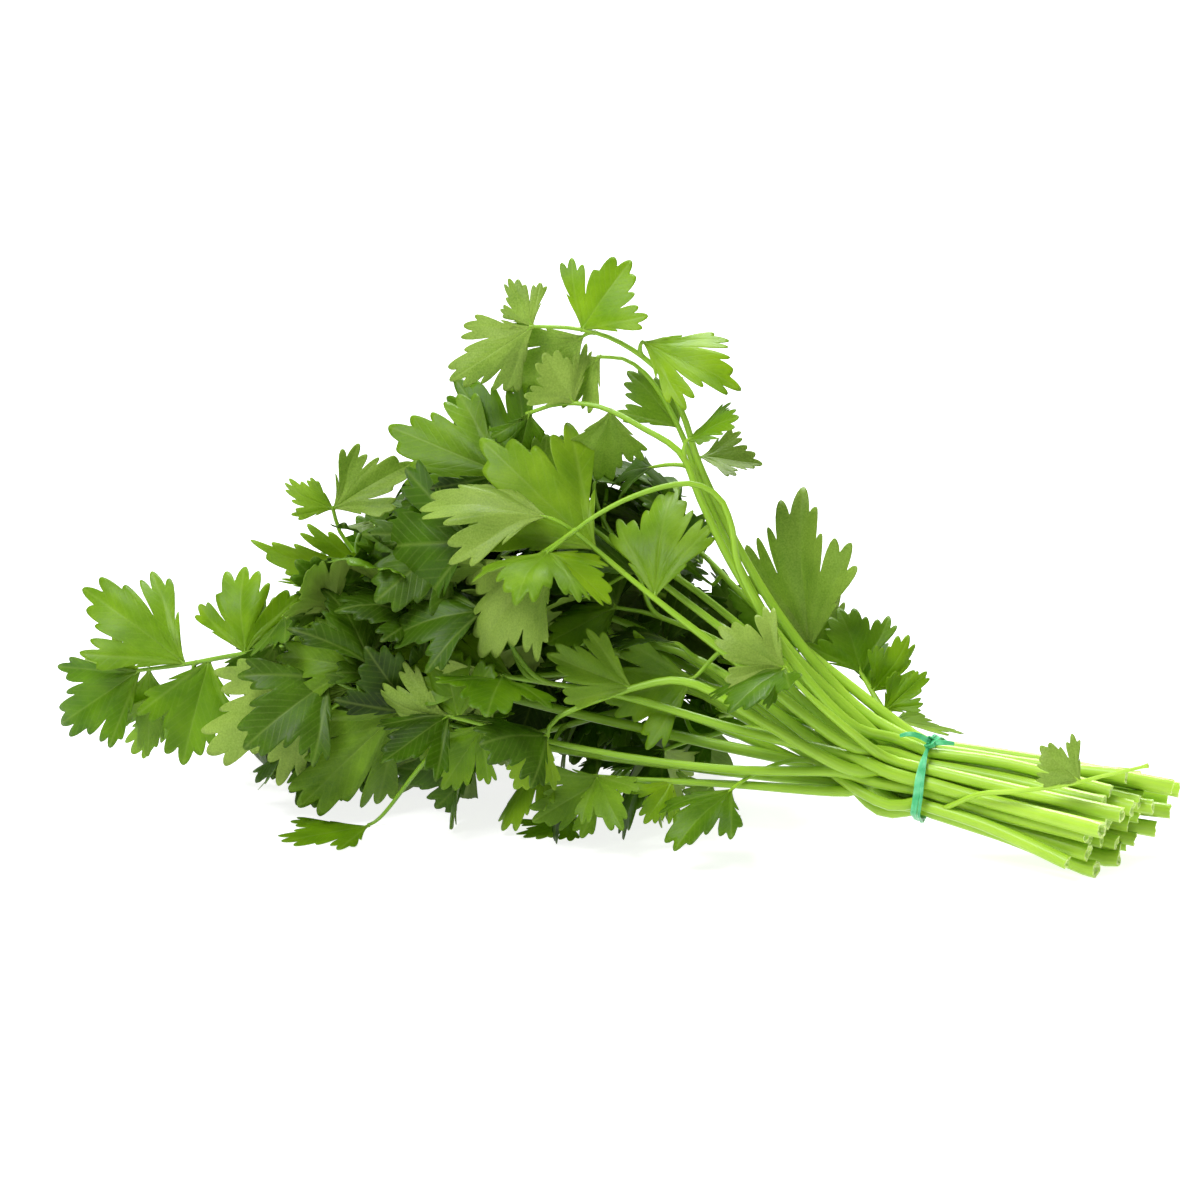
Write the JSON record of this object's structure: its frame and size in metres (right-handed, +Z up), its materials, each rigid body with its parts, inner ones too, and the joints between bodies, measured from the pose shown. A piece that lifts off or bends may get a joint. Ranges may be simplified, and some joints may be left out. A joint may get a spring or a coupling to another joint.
{
  "type": "parsley bunch",
  "caption": "Tied bunch of flat-leaf parsley lying on its side: long cut stems through a thin green tie, spreading into an arching head of lobed, toothed leaflets.",
  "frame": {"origin": "middle of the foot of the bunch's bounding box, on the surface that it lies on", "axes": "+X from the leafy head to the cut ends, along the bunch's length; +Y away from the front; +Z up"},
  "size_m": [0.338, 0.1806, 0.1721],
  "materials": {
    "leafy_stem": "satin",
    "tie": "satin"
  },
  "bodies": {
    "root": {"stem_arch_inner": "leafy_stem", "stem_arch_low": "leafy_stem", "stem_arch_tall": "leafy_stem", "stem_back_crest": "leafy_stem", "stem_back_high": "leafy_stem", "stem_back_left": "leafy_stem", "stem_back_low": "leafy_stem", "stem_back_near": "leafy_stem", "stem_bent_over": "leafy_stem", "stem_crest_left": "leafy_stem", "stem_crest_middle": "leafy_stem", "stem_curled_side": "leafy_stem", "stem_fan_back": "leafy_stem", "stem_fan_high": "leafy_stem", "stem_left_far": "leafy_stem", "stem_left_low": "leafy_stem", "stem_left_top": "leafy_stem", "stem_low_back": "leafy_stem", "stem_low_core": "leafy_stem", "stem_low_near": "leafy_stem", "stem_middle_core": "leafy_stem", "stem_middle_deep": "leafy_stem", "stem_middle_far": "leafy_stem", "stem_middle_high": "leafy_stem", "stem_middle_left": "leafy_stem", "stem_middle_near": "leafy_stem", "stem_near_fan": "leafy_stem", "stem_pale_side": "leafy_stem", "stem_right_back": "leafy_stem", "stem_under_front": "leafy_stem", "stem_upright": "leafy_stem", "stem_wavy": "leafy_stem", "tie": "tie"}
  },
  "joints": []
}
